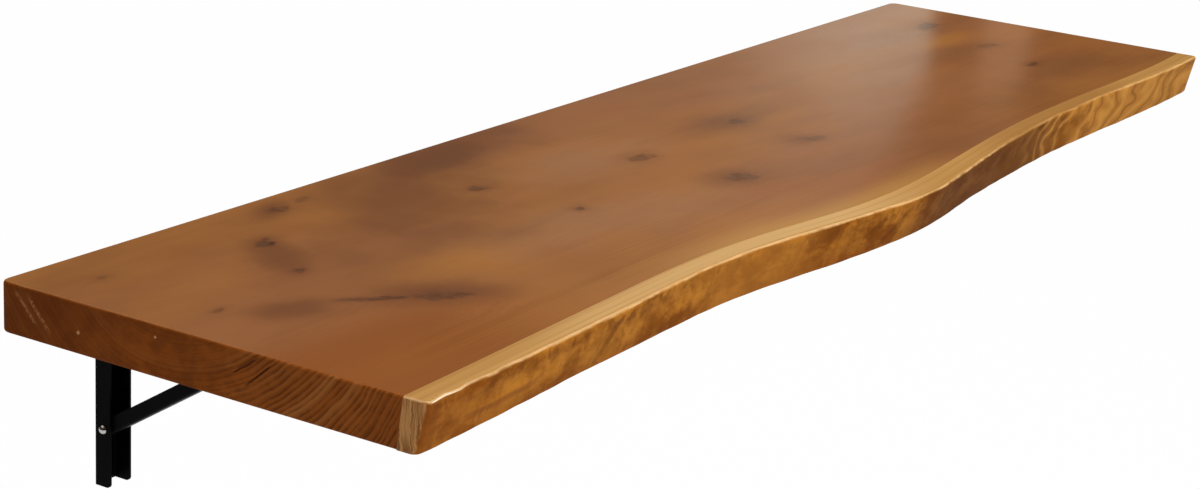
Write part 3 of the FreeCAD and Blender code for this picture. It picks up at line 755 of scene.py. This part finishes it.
figured = times(tree, between(tree, parts[0], 0.24, 0.36), between(tree, mottle, 0.32, 0.6, 0.35, 0.9))
bright_part = between(tree, parts[0], 0.36, 0.48)
scraped = blend(tree, times(tree, bright_part, 0.5), scraped, tone(204, 142, 66))
light_flame = times(tree, between(tree, flame, 0.2, 0.5), figured, 0.7)
scraped = blend(tree, light_flame, scraped, tone(212, 150, 70))
dark_flame = times(tree, between(tree, flame, 0.0, 0.15, 1.0, 0.0), figured, 0.6)
scraped = blend(tree, dark_flame, scraped, tone(126, 70, 20))

face_tear = crooked_noise(tree, place["Object"], 60.0)
face_shift = vector_of(tree, "MULTIPLY_ADD", face_tear["Color"], (0.012, 0.0, 0.004), (-0.006, 0.0, -0.002))
face_place = vector_of(tree, "ADD", join(tree, parts[0], 0.0, parts[2]), face_shift)


def face_mark(start, finish, half_width):
    """A line on the face, by place along the plank and height of both its ends."""
    ends = {"Start": (start[0], 0.0, start[1]), "Finish": (finish[0], 0.0, finish[1])}
    return use(tree, short_line, {"Place": face_place, **ends, "Half Width": half_width})["Mask"]


# Dark lines by their two ends and half width, and a shaded line under the ridge
face_lines = (
    ((-0.444, 0.1285), (-0.462, 0.104), 0.0060),
    ((-0.458, 0.111), (-0.474, 0.090), 0.0055),
    ((-0.396, 0.1285), (-0.418, 0.116), 0.0070),
    ((-0.016, 0.123), (-0.058, 0.090), 0.0055),
    ((-0.052, 0.127), (-0.080, 0.102), 0.0065),
)
ridge_shade = face_mark((-0.66, 0.1015), (-0.54, 0.105), 0.0045)
scraped = blend(tree, times(tree, ridge_shade, 0.5), scraped, tone(122, 62, 18))
marks = 0.0
for line in face_lines:
    marks = sum_of(tree, "MAXIMUM", marks, face_mark(*line))
broken_marks = times(tree, marks, between(tree, speck, 0.35, 0.65, 0.25, 0.6))
scraped = blend(tree, broken_marks, scraped, tone(104, 54, 14))

# The sawn ends, and the rim between the top and the face, painted pale as rubbed wood and as a painted
# highlight line, with a painted highlight at the left corner
end_sway = join(tree, 0.0, times(tree, mottle, 0.012), 0.0)
end_place = vector_of(tree, "ADD", place["Object"], end_sway)
end_lines = cloud(tree, end_place, (40.0, 620.0, 30.0), detail=3.0)
end_pale = blend(tree, between(tree, end_lines, 0.38, 0.66), tone(190, 137, 83), tone(128, 82, 43))
wood = blend(tree, on_top, scraped, pale)
# The rim is painted pale: partly rubbed lighter wood, partly a painted highlight line where the rounded edge
# catches the light, weaker where the wave runs back
rubbed_and_highlight = between(tree, cloud(tree, place["Object"], (42.0, 20.0, 8.0), detail=3.0), 0.36, 0.62, 0.28, 0.8)
dulled = between(tree, run_back, 0.0, 1.0, 1.0, 0.4)
wood = blend(tree, times(tree, rim, rubbed_and_highlight, dulled), wood, tone(228, 182, 122))
# A painted highlight: a near-white glint on the rounded rim just by the left corner
corner_run = times(tree, between(tree, parts[0], -0.697, -0.692),
                   between(tree, parts[0], -0.684, -0.64, 1.0, 0.0))
corner_painted_highlight = times(tree, between(tree, facing[2], 0.4, 0.55),
                     between(tree, facing[2], 0.62, 0.8, 1.0, 0.0), corner_run)
wood = blend(tree, times(tree, corner_painted_highlight, 0.85), wood, tone(252, 238, 212))
feed(tree, blend(tree, sawn_end, wood, end_pale), shader.inputs["Base Color"])
feed(tree, between(tree, mottle, 0.3, 0.7, 0.4, 0.54), shader.inputs["Roughness"])
shader.inputs["Specular IOR Level"].default_value = 0.0
upper_coat = times(tree, between(tree, facing[2], 0.15, 0.5), 0.85)
feed(tree, sum_of(tree, "MAXIMUM", upper_coat, times(tree, mottle, 0.1)), shader.inputs["Coat Weight"])
shader.inputs["Coat Roughness"].default_value = 0.16
shader.inputs["Coat IOR"].default_value = 1.45
relief = sum_of(tree, "ADD", mottle, times(tree, sum_of(tree, "ADD", lines["Fine"], fibre), 0.3))
raise_bumps(tree, shader, relief, 0.0006)
live_edge.data.materials.append(pale_sapwood)
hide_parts("live_edge_strip")
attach(live_edge, "leaf")


# The studio: a pale floor at the height that a wall table has over it, a round wall with two lit
# panels that only glossy surfaces mirror, soft lamps from above and from the front, and a white
# surround. None of it belongs to the table.
def bare_paint(name):
    """A fresh material without any nodes."""
    paint = bpy.data.materials.new(name)
    paint.use_nodes = True
    paint.node_tree.nodes.clear()
    return paint, paint.node_tree


def watched_rays(tree):
    """One for rays that reach the eye straight, mirrored or through glass, else nought."""
    ray = tree.nodes.new("ShaderNodeLightPath").outputs
    bounced = sum_of(tree, "MAXIMUM", ray["Is Glossy Ray"], ray["Is Transmission Ray"])
    return sum_of(tree, "MAXIMUM", ray["Is Camera Ray"], bounced)


floor_height = -0.62
floor_reach = 14.0
floor_white = 0.985
form = bmesh.new()
bmesh.ops.create_grid(form, x_segments=1, y_segments=1, size=floor_reach)
bmesh.ops.translate(form, verts=form.verts, vec=(0.0, 0.0, floor_height))
floor = new_piece("floor", form)
floor_paint, tree = bare_paint("pale_floor")
plain = tree.nodes.new("ShaderNodeBsdfDiffuse")
plain.inputs["Color"].default_value = (0.8, 0.8, 0.8, 1.0)
white = tree.nodes.new("ShaderNodeEmission")
clear = tree.nodes.new("ShaderNodeBsdfTransparent")
lit = tree.nodes.new("ShaderNodeMixShader")
feed(tree, sum_of(tree, "MULTIPLY", watched_rays(tree), floor_white), lit.inputs[0])
feed(tree, plain.outputs[0], lit.inputs[1])
feed(tree, white.outputs[0], lit.inputs[2])
below = tree.nodes.new("ShaderNodeMixShader")
feed(tree, tree.nodes.new("ShaderNodeNewGeometry").outputs["Backfacing"], below.inputs[0])
feed(tree, lit.outputs[0], below.inputs[1])
feed(tree, clear.outputs[0], below.inputs[2])
feed(tree, below.outputs[0], tree.nodes.new("ShaderNodeOutputMaterial").inputs["Surface"])
floor.data.materials.append(floor_paint)

wall_reach = 5.0
wall_rise = 4.4
wall_middle = 1.6
wall_steps = 96
form = bmesh.new()
bmesh.ops.create_cone(form, cap_ends=False, segments=wall_steps, radius1=wall_reach, radius2=wall_reach,
                      depth=wall_rise)
bmesh.ops.translate(form, verts=form.verts, vec=(0.0, 0.0, wall_middle))
studio_wall = new_piece("studio_wall", form)
studio_wall.visible_camera = False
studio_wall.visible_diffuse = False
studio_wall.visible_transmission = False
studio_wall.visible_shadow = False

# Two lit panels on the wall, by bearing in degrees and height; they lean over in their upper part
wall_glow = 0.012
panel_lean = 4.5
panel_height = 1.18
wall_paint, tree = bare_paint("studio_wall")
parts = split(tree, tree.nodes.new("ShaderNodeTexCoord").outputs["Object"])
bearing = sum_of(tree, "DEGREES", sum_of(tree, "ARCTAN2", parts[1], parts[0]))
above = sum_of(tree, "MAXIMUM", sum_of(tree, "SUBTRACT", parts[2], panel_height), 0.0)
bearing = sum_of(tree, "MULTIPLY_ADD", above, -panel_lean, bearing)
panel_side = between(tree, bearing, 21.95, 22.35)
panel = times(tree, panel_side, between(tree, bearing, 24.0, 29.5, 0.34, 0.1),
              between(tree, bearing, 31.0, 42.0, 1.0, 0.3), between(tree, parts[2], 1.1, 1.5, 1.95, 0.52))
slit = times(tree, between(tree, bearing, 19.0, 19.35), between(tree, bearing, 20.2, 20.9, 1.0, 0.0),
             between(tree, parts[2], 1.22, 1.32, 0.34, 0.03))
shine = sum_of(tree, "MAXIMUM", panel, slit)
glow = tree.nodes.new("ShaderNodeEmission")
glow_tint = blend(tree, panel_side, (1.0, 0.67, 0.43, 1.0), (1.0, 0.97, 0.81, 1.0))
feed(tree, glow_tint, glow.inputs["Color"])
feed(tree, sum_of(tree, "ADD", shine, wall_glow), glow.inputs["Strength"])
feed(tree, glow.outputs[0], tree.nodes.new("ShaderNodeOutputMaterial").inputs["Surface"])
studio_wall.data.materials.append(wall_paint)


def soft_lamp(name, place, aim, width, height, power):
    """A rectangular lamp that the camera doesn't see."""
    lamp = bpy.data.lights.new(name, "AREA")
    lamp.shape = "RECTANGLE"
    lamp.size = width
    lamp.size_y = height
    lamp.energy = power
    stand = bpy.data.objects.new(name, lamp)
    bpy.context.scene.collection.objects.link(stand)
    stand.location = place
    stand.rotation_euler = (Vector(aim) - Vector(place)).to_track_quat("-Z", "Y").to_euler()
    stand.visible_camera = False
    return stand


soft_lamp("overhead_lamp", (0.3, -0.6, 2.4), (0.1, -0.2, 0.1), 2.6, 1.8, 52.0)
front_lamp = soft_lamp("front_lamp", (-0.9, -2.6, 1.3), (-0.1, -0.3, 0.1), 1.4, 1.0, 24.0)
front_lamp.visible_glossy = False

sky_light = 0.45
surround = bpy.data.worlds.new("white_surround")
bpy.context.scene.world = surround
surround.use_nodes = True
tree = surround.node_tree
sky = tree.nodes["Background"]
feed(tree, (1.0, 1.0, 1.0, 1.0), sky.inputs["Color"])
sky_strength = sum_of(tree, "MULTIPLY_ADD", watched_rays(tree), 1.0 - sky_light, sky_light)
feed(tree, sky_strength, sky.inputs["Strength"])


# The camera: a long lens at the left front, a little above the table,
# looking along the plank and rolled slightly.
camera_place = (-2.1171, -1.4474, 0.7809)
yaw = math.radians(57.067)
pitch = math.radians(16.894)
roll = math.radians(2.926)
forward = Vector((math.sin(yaw) * math.cos(pitch), math.cos(yaw) * math.cos(pitch), -math.sin(pitch)))
right = Vector((math.cos(yaw), -math.sin(yaw), 0.0))
upward = right.cross(forward)
camera_right = right * math.cos(roll) + upward * math.sin(roll)
camera_up = upward * math.cos(roll) - right * math.sin(roll)
lens = bpy.data.cameras.new("photo_camera")
lens.sensor_fit = "HORIZONTAL"
lens.sensor_width = 36.0
lens.lens = 84.351
camera = bpy.data.objects.new("photo_camera", lens)
bpy.context.scene.collection.objects.link(camera)
camera_turn = Matrix((camera_right, camera_up, -forward)).transposed().to_4x4()
camera.matrix_world = Matrix.Translation(camera_place) @ camera_turn
bpy.context.scene.camera = camera
bpy.context.scene.view_settings.view_transform = "Standard"
